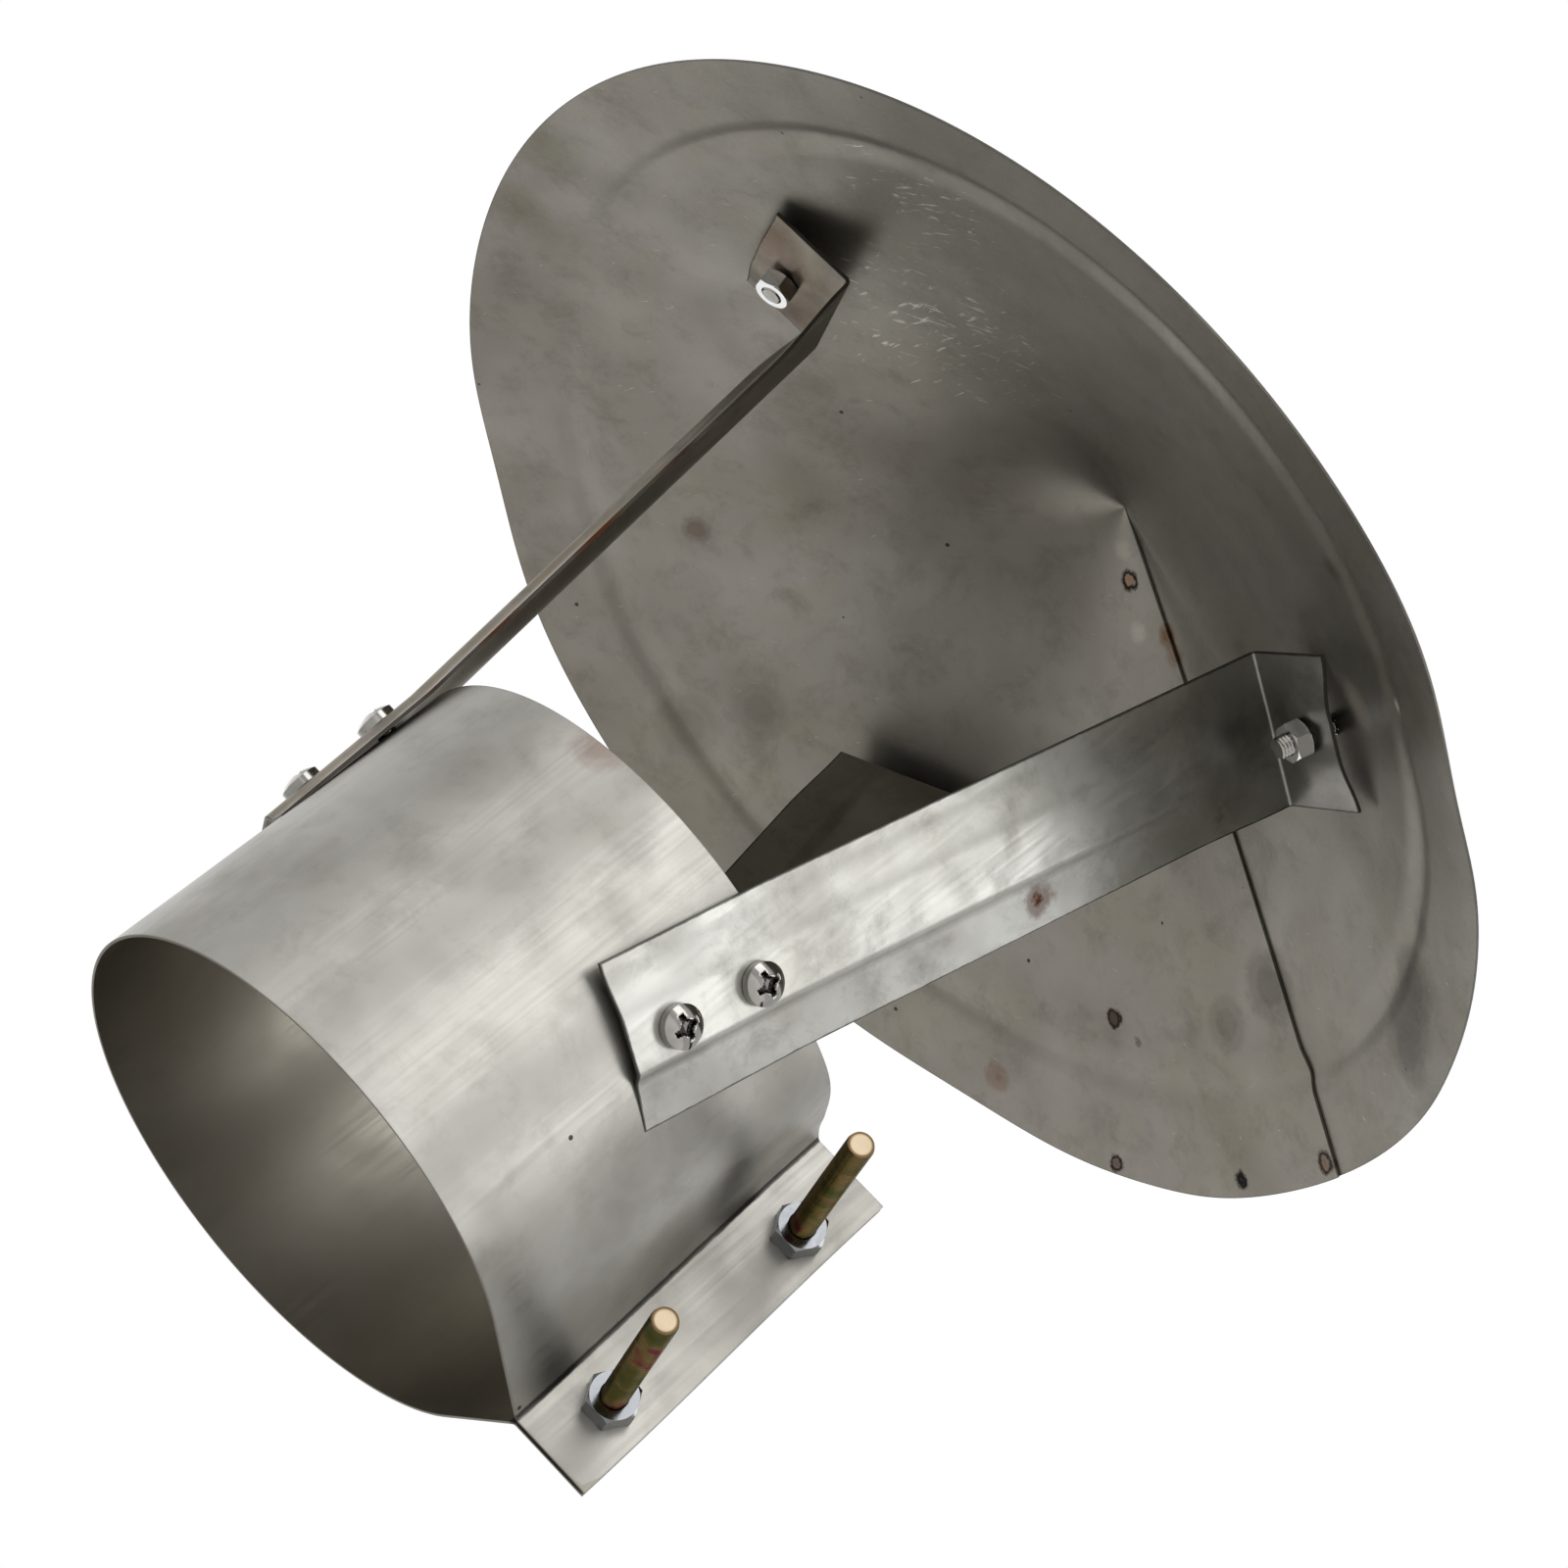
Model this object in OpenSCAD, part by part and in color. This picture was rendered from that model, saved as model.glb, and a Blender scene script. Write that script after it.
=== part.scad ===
// Rain cap for a round flue pipe: a clamp collar, three ribbed legs and a cone cap.
// The origin is on the collar's axis at its lower rim, and the clamp faces +X.

/* [Collar] */
// Inside diameter of the collar, which fits the outside of the flue pipe
bore_d = 115; // [100:1:130]
// Height of the collar
collar_h = 86; // [80:1:106]
// Thickness of the collar's sheet
collar_t = 0.6; // [0.5:0.1:1]
// How far the wall leans out at the top rim
flare = 0.8; // [0.7:0.1:1.5]
// Angle from the clamp to where the wall leaves the circle
spread = 27; // [25:1:32]

/* [Clamp] */
// Width of the two flanges
flange_w = 19; // [17:1:24]
// Gap between the two flanges
flange_gap = 1.5; // [1:0.5:5]
// Distance of each clamp bolt from the collar's nearest rim
bolt_inset = 16; // [12:1:22]
// Length of the clamp bolts under the head
bolt_len = 50; // [46:1:60]
// Thread diameter of the clamp bolts
bolt_d = 6; // [5:1:7]
// Width across the flats of the clamp bolts and nuts
clamp_flats = 10; // [9:1:12]
// Height of the clamp nuts
clamp_nut_h = 5; // [4:0.5:6]
// Height of the clamp bolts' heads
bolt_head_h = 4; // [3:0.5:6]

/* [Legs] */
// Width of each leg
leg_w = 35; // [31:1:39]
// Thickness of the legs' sheet
leg_t = 0.8; // [0.6:0.1:1.2]
// Width of the rib's flat crest
crest_w = 10; // [10:1:12]
// Width of each sloped side of the rib
rib_side = 3.5; // [3:0.5:4]
// Height of the rib over the flat of the leg
rib_h = 2; // [1.5:0.25:2.5]
// Length of leg below the lower screw
leg_tail = 11; // [9:1:14]
// Sideways lean of the legs
lean = 11.5; // [8:0.5:13]
// Outward lean of the legs above the collar
splay = 5; // [3:1:8]
// Turn of the three legs about the collar, away from the clamp
leg_turn = 6; // [0:1:15]
// Length of the tab that is bent out under the cap
tab_l = 22; // [20:1:25]
// Distance of the cap screw from the bend
tab_hole = 14; // [12:1:15]

/* [Screws] */
// Thread diameter of the leg and cap screws
screw_d = 5; // [4:0.5:5]
// Diameter of the pan heads
head_d = 9; // [8:0.5:10]
// Height of the pan heads
head_h = 3.4; // [3:0.1:4]
// Width across the flats of the small nuts
nut_flats = 8; // [7:0.5:9]
// Height of the small nuts
nut_h = 4; // [3:0.5:4]
// Length of the leg screws under the head
leg_screw_l = 10; // [10:1:14]
// Length of the cap screws under the head
cap_screw_l = 16; // [16:1:22]
// Distance of the upper leg screws below the collar's top rim
screw_drop = 7; // [5:0.5:8]
// Distance between the two screws of a leg
screw_step = 20.5; // [18:0.5:24]
// Distance from the lower leg screws down to the end of the straight bore
pipe_stop = 9; // [8:1:12]

/* [Cap] */
// Diameter of the cap
cap_d = 292; // [276:1:316]
// Height of the cap's rim above the collar
cap_lift = 106; // [98:1:118]
// Height of the cone from its rim to its point
cone_rise = 69; // [62:1:76]
// Thickness of the cap's sheet
cap_t = 0.6; // [0.5:0.1:1]
// Distance of the pressed crease from the rim
crease_inset = 21.5; // [16:0.5:26]
// Height by which the crease stands up from the cone
crease_h = 0.7; // [0.4:0.1:1.2]
// Width over which the sheet rises to the crease from the inside
crease_in = 8; // [5:1:10]
// Width over which it falls again on the outside
crease_out = 5; // [4:1:8]
// Azimuth where the lapped seam starts
seam_az = 11; // [0:1:20]
// Radius where the lapped seam starts
seam_r = 4; // [3:1:8]

/* [Hidden] */
$fn = 96;

// Clearances: faces that seat, leg to collar, tab to cap, thread in nut, shank in hole
seat_gap = 0.02;
leg_gap = 0.1;
tab_gap = 0.1;
thread_gap = 0.05;
hole_gap = 0.25;
// Longer than anything that a cut has to pass through
through = 20;
// Depth by which the straight walls start inside the round one
bite = 0.02;

// Collar: the corners where the straight wall turns into the flanges
r_in = bore_d / 2;
r_out = r_in + collar_t;
face_in = flange_gap / 2;
face_out = face_in + collar_t;
flange_root = r_in / cos(spread);
flange_end = flange_root + flange_w;
bolt_x = flange_root + flange_w / 2;
bolt_z = [bolt_inset, collar_h - bolt_inset];

// Leg screws, and the straight bore that stays clear of their nuts
screw_high_z = collar_h - screw_drop;
screw_low_z = screw_high_z - screw_step;
seat_h = screw_low_z - pipe_stop;
flare_h = collar_h - seat_h;
clamp_seat = face_out + seat_gap;
function wide(z) = 1 + flare / r_out * max(0, z - seat_h) / flare_h;

// Leg: its foot lies on the flared wall, and the strut above bends out
screw_mid_z = (screw_low_z + screw_high_z) / 2;
tilt = atan(flare / flare_h);
foot = [r_out + flare * (screw_mid_z - seat_h) / flare_h + leg_gap, 0, screw_mid_z];
up = [sin(tilt), 0, cos(tilt)];
foot_out = [cos(tilt), 0, -sin(tilt)];
foot_along = cos(lean) * up + sin(lean) * [0, 1, 0];
across = cos(lean) * [0, 1, 0] - sin(lean) * up;
bend = splay - tilt;
along = cos(bend) * foot_along + sin(bend) * foot_out;
out = cos(bend) * foot_out - sin(bend) * foot_along;
foot_down = (screw_mid_z - screw_low_z + leg_tail) / cos(lean);
foot_up = (collar_h - screw_mid_z) / cos(lean) + leg_t;
foot_end = foot - foot_down * foot_along;
knee = foot + foot_up * foot_along;

// Cap: the underside's height at a radius, without the crease
cap_r = cap_d / 2;
rim_z = collar_h + cap_lift;
apex_z = rim_z + cone_rise;
crease_r = cap_r - crease_inset;
slope = atan(cone_rise / cap_r);
sheet_z = cap_t / cos(slope);
lap = 360 * (1 / cos(slope) - 1);
function cone_z(r) = apex_z - r * tan(slope);

// Strut: it is as long as brings the tab's higher outer corner up to the cap
function tab_corner(s) = knee + s * along + tab_l * out - leg_w / 2 * across;
function reach(s) = cone_z(norm([tab_corner(s).x, tab_corner(s).y])) - tab_corner(s).z;
function strut(s, n) = n == 0 ? s : strut(s + reach(s) - tab_gap, n - 1);
strut_l = strut(cap_lift, 12);

// Cap screw: it stands midway between the tab's direction and the cap's
fold = knee + strut_l * along;
tab_end = fold + tab_l * out;
tab_point = fold + tab_hole * out;
tab_az = atan2(tab_point.y, tab_point.x);
cap_up = [sin(slope) * cos(tab_az), sin(slope) * sin(tab_az), cos(slope)];
pin = (along + cap_up) / norm(along + cap_up);
pin_cap = pin * cap_up;
pin_tab = pin * along;
to_cap = (cap_up * [0, 0, apex_z] - cap_up * tab_point) / pin_cap;
head_seat = to_cap + cap_t / pin_cap + head_d / 2 * tan(acos(pin_cap)) + seat_gap;
nut_corner = nut_flats / sqrt(3);
nut_seat = (rib_h + leg_t) / pin_tab + nut_corner * tan(acos(pin_tab)) + seat_gap;

// Leg nuts: they meet the round wall at their outermost corners
nut_side = screw_step / 2 * sin(lean) + nut_corner;
wall_sag = r_in - sqrt(r_in * r_in - nut_side * nut_side);
wall_seat = leg_gap + collar_t + wall_sag + seat_gap;

// Screw drive: cross recess across the head, its width and its depth
drive_w = head_d / 2;
drive_t = head_d / 8;
drive_h = head_h / 2;

function leg_az(i) = 180 + 120 * i + leg_turn;

module at_leg(i) rotate([0, 0, leg_az(i)]) children();

module foot_frame() translate(foot) rotate([0, tilt, 0]) rotate([-lean, 0, 0]) children();

// The cap screw's line, with Z along the screw and zero on the tab's upper face
module pin_frame() translate(tab_point)
    rotate([0, acos(pin.z), atan2(pin.y, pin.x)]) children();

module screw_hole() cylinder(d = screw_d + 2 * hole_gap, h = 2 * through, center = true);

module leg_screw_lines() foot_frame()
    for (s = [-1, 1]) translate([0, 0, s * screw_step / 2]) rotate([0, 90, 0]) children();

// Collar: a solid round drum, upright to the end of the pipe's seat and flared above
module drum(r, low, high) rotate_extrude() polygon([[0, low], [r, low], [r, seat_h],
    [r * wide(high), high], [0, high]]);

// The straight walls that run from the drum to the clamp, as one solid wedge
module wedge(r, low, high) {
    side = (r - bite) * [cos(spread), sin(spread)];
    ring = [[0, 0], [side.x, -side.y], [r / cos(spread), 0], side];
    levels = [low, seat_h, high];
    polyhedron(
        points = [for (z = levels) for (p = ring) [p.x * wide(z), p.y * wide(z), z]],
        faces = concat(
            [[0, 1, 2, 3], [11, 10, 9, 8]],
            [for (k = [0, 4]) for (i = [0:3]) [k + 4 + i, k + 4 + (i + 1) % 4, k + (i + 1) % 4, k + i]]
        )
    );
}

module clamp_block(half, low, high, end) translate([r_in, -half, low])
    cube([end - r_in, 2 * half, high - low]);

module collar() color("silver") difference() {
    union() {
        drum(r_out, 0, collar_h);
        wedge(r_out, 0, collar_h);
        clamp_block(face_out, 0, collar_h, flange_end);
    }
    drum(r_in, -through, collar_h + through);
    wedge(r_in, -through, collar_h + through);
    clamp_block(face_in, -through, collar_h + through, flange_end + through);
    for (z = bolt_z) translate([bolt_x, 0, z]) rotate([90, 0, 0])
        cylinder(d = bolt_d + 2 * hole_gap, h = through, center = true);
    for (i = [0:2]) at_leg(i) leg_screw_lines() screw_hole();
}

// Leg: the ribbed sheet's section, as distance out from its inner face and place across
rise = leg_t * tan(atan(rib_h / rib_side) / 2);
side = leg_w / 2;
crest = crest_w / 2;
base = crest + rib_side;
section = [
    [0, -side], [0, -base], [rib_h, -crest], [rib_h, crest], [0, base], [0, side],
    [leg_t, side], [leg_t, base + rise], [rib_h + leg_t, crest + rise],
    [rib_h + leg_t, -crest - rise], [leg_t, -base - rise], [leg_t, -side]
];

// Its path: foot, knee, bend and tab, each with the way the section's outer side faces
path = [
    [foot_end, foot_out],
    [knee, (foot_out + out) / (1 + foot_out * out)],
    [fold, out - along],
    [tab_end, -along]
];

module leg(i) color("lightgray") at_leg(i) difference() {
    n = len(section);
    last = n * (len(path) - 1);
    polyhedron(
        points = [for (q = path) for (p = section) q[0] + p.x * q[1] + p.y * across],
        faces = concat(
            [[for (k = [0:n - 1]) k], [for (k = [n - 1:-1:0]) last + k]],
            [for (m = [0:n:last - 1]) for (k = [0:n - 1])
                [m + n + k, m + n + (k + 1) % n, m + (k + 1) % n, m + k]]
        )
    );
    leg_screw_lines() screw_hole();
    pin_frame() cylinder(d = screw_d + 2 * hole_gap, h = 2 * nut_seat, center = true);
}

// Pan-head screw with a cross recess, head up from the origin and thread down
module pan_screw(length) {
    edge = head_h * 0.4;
    dome = head_h - edge;
    dome_r = (head_d * head_d / 4 + dome * dome) / (2 * dome);
    difference() {
        intersection() {
            cylinder(d = head_d, h = head_h);
            translate([0, 0, head_h - dome_r]) sphere(r = dome_r);
        }
        for (a = [0, 90]) rotate([0, 0, a]) translate([0, 0, head_h])
            cube([drive_w, drive_t, 2 * drive_h], center = true);
    }
    translate([0, 0, -length]) cylinder(d = screw_d, h = length);
}

// Hexagon with its corners chamfered at the top, and at the foot where asked
module hexagon(flats, height, foot_too) {
    corner = flats / sqrt(3);
    drop = (corner - flats / 2) * tan(30);
    intersection() {
        cylinder(r = corner, h = height, $fn = 6);
        rotate_extrude() polygon([[0, 0], [foot_too ? flats / 2 : corner, 0],
            [corner, foot_too ? drop : 0], [corner, height - drop],
            [flats / 2, height], [0, height]]);
    }
}

module nut(flats, height, thread) difference() {
    hexagon(flats, height, true);
    translate([0, 0, -height]) cylinder(d = thread + 2 * thread_gap, h = 3 * height);
}

module leg_screw(i, side) color("gainsboro") at_leg(i) foot_frame()
    translate([rib_h + leg_t + seat_gap, 0, side * screw_step / 2]) rotate([0, 90, 0])
    pan_screw(leg_screw_l);

module leg_nut(i, side) color("gainsboro") at_leg(i) foot_frame()
    translate([-wall_seat, 0, side * screw_step / 2]) rotate([0, -90, 0])
    nut(nut_flats, nut_h, screw_d);

module cap_screw(i) color("gainsboro") at_leg(i) pin_frame()
    translate([0, 0, head_seat]) pan_screw(cap_screw_l);

module cap_nut(i) color("gainsboro") at_leg(i) pin_frame()
    translate([0, 0, -nut_seat]) mirror([0, 0, 1]) nut(nut_flats, nut_h, screw_d);

// Clamp: the bolts' heads are on the +Y flange and the nuts on the other
module clamp_bolt(z) color("khaki") translate([bolt_x, clamp_seat, z]) rotate([-90, 0, 0]) {
    hexagon(clamp_flats, bolt_head_h, false);
    translate([0, 0, -bolt_len]) cylinder(d = bolt_d, h = bolt_len);
}

module clamp_nut(z) color("gainsboro") translate([bolt_x, -clamp_seat, z])
    rotate([90, 0, 0]) nut(clamp_flats, clamp_nut_h, bolt_d);

// Cap: the sheet's section from a radius out to the rim, raised by a height
module sheet_section(from, lift) {
    radii = [from, crease_r - crease_in, crease_r, crease_r + crease_out, cap_r];
    under = [for (r = radii) [r, cone_z(r) + (r == crease_r ? crease_h : 0)]];
    polygon(concat(
        [for (p = under) p + [0, lift]],
        [for (i = [len(under) - 1:-1:0]) under[i] + [0, lift + sheet_z]]
    ));
}

module cap() color("silver") difference() {
    union() {
        rotate_extrude() sheet_section(0, 0);
        rotate([0, 0, seam_az]) rotate_extrude(angle = lap) sheet_section(seam_r, sheet_z);
    }
    for (i = [0:2]) at_leg(i) pin_frame() translate([0, 0, to_cap]) screw_hole();
}

cap();
collar();
leg(0);  // leg_left
leg(1);  // leg_front
leg(2);  // leg_rear
leg_screw(0, -1);  // leg_left_screw_low
leg_screw(0, 1);  // leg_left_screw_high
leg_screw(1, -1);  // leg_front_screw_low
leg_screw(1, 1);  // leg_front_screw_high
leg_screw(2, -1);  // leg_rear_screw_low
leg_screw(2, 1);  // leg_rear_screw_high
leg_nut(0, -1);  // leg_left_nut_low
leg_nut(0, 1);  // leg_left_nut_high
leg_nut(1, -1);  // leg_front_nut_low
leg_nut(1, 1);  // leg_front_nut_high
leg_nut(2, -1);  // leg_rear_nut_low
leg_nut(2, 1);  // leg_rear_nut_high
cap_screw(0);  // cap_screw_left
cap_screw(1);  // cap_screw_front
cap_screw(2);  // cap_screw_rear
cap_nut(0);  // cap_nut_left
cap_nut(1);  // cap_nut_front
cap_nut(2);  // cap_nut_rear
clamp_bolt(bolt_z[0]);  // clamp_bolt_low
clamp_bolt(bolt_z[1]);  // clamp_bolt_high
clamp_nut(bolt_z[0]);  // clamp_nut_low
clamp_nut(bolt_z[1]);  // clamp_nut_high
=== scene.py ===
# Rain cap for a round flue: a sheet cone on three ribbed legs above a clamp collar.
import math
import bpy
import numpy as np
from mathutils import Matrix


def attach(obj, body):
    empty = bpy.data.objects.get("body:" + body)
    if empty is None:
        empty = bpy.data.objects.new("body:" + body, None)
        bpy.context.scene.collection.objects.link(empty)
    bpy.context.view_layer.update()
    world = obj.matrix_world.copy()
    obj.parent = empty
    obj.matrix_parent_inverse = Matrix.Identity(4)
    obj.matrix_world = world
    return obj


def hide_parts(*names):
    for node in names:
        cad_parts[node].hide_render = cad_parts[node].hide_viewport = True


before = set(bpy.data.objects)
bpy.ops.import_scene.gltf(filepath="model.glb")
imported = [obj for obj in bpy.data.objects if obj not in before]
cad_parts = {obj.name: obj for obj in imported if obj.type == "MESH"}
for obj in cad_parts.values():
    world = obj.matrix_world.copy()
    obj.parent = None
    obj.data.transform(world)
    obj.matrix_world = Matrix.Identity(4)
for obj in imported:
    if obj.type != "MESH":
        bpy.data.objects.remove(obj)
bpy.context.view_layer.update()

mm = 0.001


def linearColour(hexText):
    # sRGB hex to linear, with the usual curve
    c = np.array([int(hexText[i:i + 2], 16) / 255 for i in (1, 3, 5)])
    c = np.where(c > 0.04045, ((c + 0.055) / 1.055) ** 2.4, c / 12.92)
    return (*c.tolist(), 1.0)


def addNode(tree, kind, links=(), **settings):
    # one node: plain settings by name, sockets by number or name in a dictionary called at
    node = tree.nodes.new(kind)
    for socket, value in settings.pop("at", {}).items():
        node.inputs[socket].default_value = value
    for key, value in settings.items():
        setattr(node, key, value)
    for socket, source in links:
        tree.links.new(source, node.inputs[socket])
    return node


def spin(points, degrees):
    # turns points about the vertical axis
    c, s = math.cos(math.radians(degrees)), math.sin(math.radians(degrees))
    return points @ np.array([[c, s, 0], [-s, c, 0], [0, 0, 1]])


def gridFaces(rows, columns, first=0, wrap=False):
    # quads between neighbouring rows and columns, where the last column may join the first
    a = np.arange(rows - 1)[:, None] * columns + np.arange(columns if wrap else columns - 1)
    b = a - a % columns + (a % columns + 1) % columns
    return np.stack([a, b, b + columns, a + columns], -1).reshape(-1, 4) + first


def sheetShell(front, back):
    # two matching grids, joined round their border by one strip, so that the sheet is closed
    rows, columns = front.shape[:2]
    half = rows * columns
    index = np.arange(half).reshape(rows, columns)
    ring = np.concatenate([index[0, :-1], index[:-1, -1], index[-1, :0:-1], index[:0:-1, 0]])
    after = np.roll(ring, -1)
    strip = np.stack([after, ring, ring + half, after + half], -1)
    faces = [gridFaces(rows, columns), gridFaces(rows, columns, half)[:, ::-1], strip]
    return np.concatenate([front.reshape(-1, 3), back.reshape(-1, 3)]), np.concatenate(faces)


def turnedSkin(grid):
    # rows of a closed round section, from a centre at one end to a centre at the other
    rows, columns = grid.shape[:2]
    points = np.concatenate([grid[1:-1].reshape(-1, 3), grid[0, :1], grid[-1, :1]])
    k = np.arange(columns)
    last = (rows - 3) * columns
    start = np.full(columns, (rows - 2) * columns)
    caps = [np.stack([start, (k + 1) % columns, k], -1),
            np.stack([start + 1, last + k, last + (k + 1) % columns], -1)]
    return points, gridFaces(rows - 2, columns, wrap=True), np.concatenate(caps)


def turnedValues(*values):
    # one map value pair for each point of the turned skin, in the same order
    pairs = np.stack(np.broadcast_arrays(*values), -1)
    return np.concatenate([pairs[1:-1].reshape(-1, 2), pairs[0, :1], pairs[-1, :1]]) * mm


def makePiece(name, skin, nodes, material, uv=None, sharp=32, body="cap_and_collar"):
    # the mesh gets outward faces, by the sign of its volume, and smooth shading but for edges
    # sharper than the given angle in degrees
    points, groups = skin[0], [g for g in skin[1:] if len(g)]
    fan = np.concatenate([g[:, [0, i, i + 1]] for g in groups for i in range(1, g.shape[1] - 1)])
    a, b, c = (points[fan[:, i]] for i in range(3))
    if np.einsum("ij,ij", a, np.cross(b, c)) < 0:
        groups = [g[:, ::-1] for g in groups]
    mesh = bpy.data.meshes.new(name)
    mesh.from_pydata(points.tolist(), [], [f for g in groups for f in g.tolist()])
    if uv is not None:
        loops = np.zeros(len(mesh.loops), np.int32)
        mesh.loops.foreach_get("vertex_index", loops)
        mesh.uv_layers.new(name="sheetUv").data.foreach_set("uv", uv[loops].ravel())
    mesh.polygons.foreach_set("use_smooth", np.ones(len(mesh.polygons), bool))
    mesh.set_sharp_from_angle(angle=math.radians(sharp))
    mesh.materials.append(material)
    piece = bpy.data.objects.new(name, mesh)
    bpy.context.scene.collection.objects.link(piece)
    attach(piece, body)
    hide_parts(*nodes)


def smooth(x):
    # an even rise from 0 to 1 that starts and ends level
    x = np.clip(x, 0, 1)
    return x * x * (3 - 2 * x)


# Mill-finish stainless sheet, cold rolled and handled: dull grey, cloudy with finger smudges, faint
# rolling lines, small dark specks, brown heat stains and pale scuffs, with painted shade along
# edges.
def rolledStainless(name, look):
    material = bpy.data.materials.new(name)
    material.use_nodes = True
    tree = material.node_tree
    shader = tree.nodes["Principled BSDF"]
    shader.inputs["Metallic"].default_value = look["metallic"]
    place = addNode(tree, "ShaderNodeTexCoord").outputs["Object"]
    clouds = addNode(tree, "ShaderNodeTexNoise", [("Vector", place)],
                     at={"Scale": 1 / (look["cloudMm"] * mm), "Detail": 4.0, "Roughness": 0.55})
    cloudMask = addNode(tree, "ShaderNodeMapRange", [(0, clouds.outputs[0])],
                        at={1: 0.35, 2: 0.68})
    tone = addNode(tree, "ShaderNodeMix", [(0, cloudMask.outputs[0])], data_type="RGBA",
                   at={6: linearColour(look["dark"]), 7: linearColour(look["light"])})
    # four layers, each a noise of its own size that mixes in a tone: smudges of a thumb's size,
    # a few soft brown stains, an olive cast in hand-sized patches, and dirt with ragged edges
    noises, colour = {}, tone.outputs[2]
    for kind in ("smudge", "stain", "olive", "dirt"):
        noises[kind] = addNode(tree, "ShaderNodeTexNoise", [("Vector", place)],
                               at={"Scale": 1 / (look[kind + "Mm"] * mm), **look[kind + "Noise"]})
        start, end = look[kind + "Span"]
        mask = addNode(tree, "ShaderNodeMapRange", [(0, noises[kind].outputs[0])],
                       at={1: start, 2: end, 3: 0.0, 4: look[kind + "Share"]})
        colour = addNode(tree, "ShaderNodeMix", [(0, mask.outputs[0]), (6, colour)],
                         data_type="RGBA",
                         at={7: linearColour(look[kind + "Tone"])}).outputs[2]
    # specks: one small dark dot to each cell of a few millimetres, where chance allows
    cells = addNode(tree, "ShaderNodeTexVoronoi", [("Vector", place)],
                    at={"Scale": 1 / (look["speckMm"] * mm), "Randomness": 1.0})
    near = addNode(tree, "ShaderNodeMath", [(0, cells.outputs["Distance"])],
                   operation="LESS_THAN", at={1: look["speckWide"]})
    chance = addNode(tree, "ShaderNodeSeparateColor", [(0, cells.outputs["Color"])])
    rare = addNode(tree, "ShaderNodeMath", [(0, chance.outputs[0])], operation="LESS_THAN",
                   at={1: look["speckChance"]})
    speck = addNode(tree, "ShaderNodeMath", [(0, near.outputs[0]), (1, rare.outputs[0])],
                    operation="MULTIPLY")
    colour = addNode(tree, "ShaderNodeMix", [(0, speck.outputs[0]), (6, colour)],
                     data_type="RGBA", at={7: linearColour(look["speckTone"])}).outputs[2]
    uv = addNode(tree, "ShaderNodeUVMap", uv_map="sheetUv")
    parts = addNode(tree, "ShaderNodeSeparateXYZ", [(0, uv.outputs[0])])
    # the side that no hand or scuff reaches leans towards a tone of its own
    clean = addNode(tree, "ShaderNodeMix", [(6, colour)], data_type="RGBA",
                    at={0: look["innerShare"], 7: linearColour(look["innerTone"])}).outputs[2]
    # pale scuffs: short broken scratches that cross each other, each lot kept to one worn place
    # with a reach in millimetres and turns in degrees
    for scuffAt, reach, turns in look["scuffs"]:
        for turn in turns:
            lines = addNode(tree, "ShaderNodeMapping", [("Vector", place)], vector_type="TEXTURE",
                            at={"Rotation": (0, 0, math.radians(turn)),
                                "Scale": look["scratchLong"]})
            hairs = addNode(tree, "ShaderNodeTexNoise", [("Vector", lines.outputs[0])],
                            at={"Scale": 1 / (look["scratchMm"] * mm), "Detail": 3.0,
                                "Distortion": 0.5})
            away = addNode(tree, "ShaderNodeVectorMath", [(0, place)], operation="DISTANCE",
                           at={1: [v * mm for v in scuffAt]})
            worn = addNode(tree, "ShaderNodeMapRange", [(0, away.outputs["Value"])],
                           at={1: reach * mm, 2: 0.0, 3: 0.0, 4: look["scratchWorn"]})
            level = addNode(tree, "ShaderNodeMath", [(0, hairs.outputs[0]), (1, worn.outputs[0])],
                            operation="ADD")
            start, end = look["scratchSpan"]
            hair = addNode(tree, "ShaderNodeMapRange", [(0, level.outputs[0])],
                           at={1: start, 2: end, 3: 0.0, 4: look["scratchShare"]})
            colour = addNode(tree, "ShaderNodeMix", [(0, hair.outputs[0]), (6, colour)],
                             data_type="RGBA",
                             at={7: linearColour(look["scratchTone"])}).outputs[2]
    # the marks' outlines are ragged by about a millimetre
    ragged = addNode(tree, "ShaderNodeTexNoise", [("Vector", place)],
                     at={"Scale": 1 / (look["raggedMm"] * mm), "Detail": 5.0, "Roughness": 0.7})
    centred = addNode(tree, "ShaderNodeVectorMath", [(0, ragged.outputs["Color"])],
                      operation="SUBTRACT", at={1: (0.5, 0.5, 0.5)})
    shifted = addNode(tree, "ShaderNodeVectorMath", [(0, centred.outputs[0]), (2, place)],
                      operation="MULTIPLY_ADD", at={1: (look["raggedDeep"] * mm,) * 3})
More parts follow.
